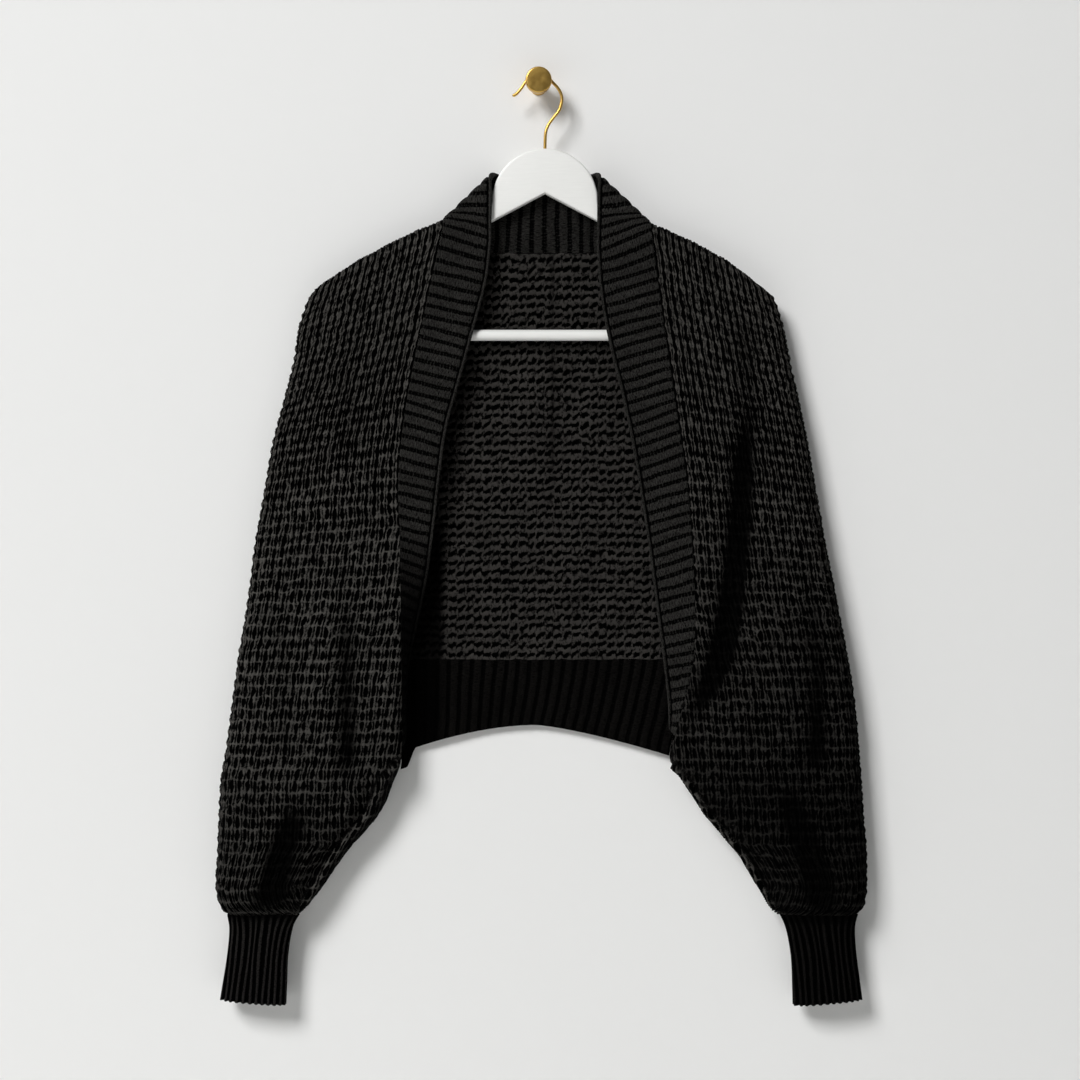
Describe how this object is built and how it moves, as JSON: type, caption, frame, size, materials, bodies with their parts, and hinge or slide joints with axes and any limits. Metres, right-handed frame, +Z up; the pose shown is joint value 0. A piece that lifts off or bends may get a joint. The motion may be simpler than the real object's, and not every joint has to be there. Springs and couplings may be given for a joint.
{
  "type": "knitted shawl cardigan on a clothes hanger and wall knob",
  "caption": "Cropped open knitted wrap with deep batwing sleeves and a ribbed shawl band, on a wooden hanger hooked over a round wall knob.",
  "frame": {"origin": "centre of the wall knob's flat back face, on the wall", "axes": "+Y out of the knob's back face into the wall, +X to the right as seen from the front, +Z up"},
  "size_m": [0.6522, 0.0502, 0.9391],
  "materials": {
    "waffle_knit": "matte black waffle knit",
    "rib_knit": "matte black rib knit",
    "white_wood": "white satin paint",
    "satin_brass": "satin"
  },
  "bodies": {
    "root": {"front_left": "waffle_knit", "front_right": "waffle_knit", "back_left": "waffle_knit", "back_right": "waffle_knit", "band": "rib_knit", "back_hem": "rib_knit", "cuff_left": "rib_knit", "cuff_right": "rib_knit", "hanger_board": "white_wood", "hanger_bar": "white_wood", "hook": "satin_brass", "wall_knob": "satin_brass"}
  },
  "joints": []
}
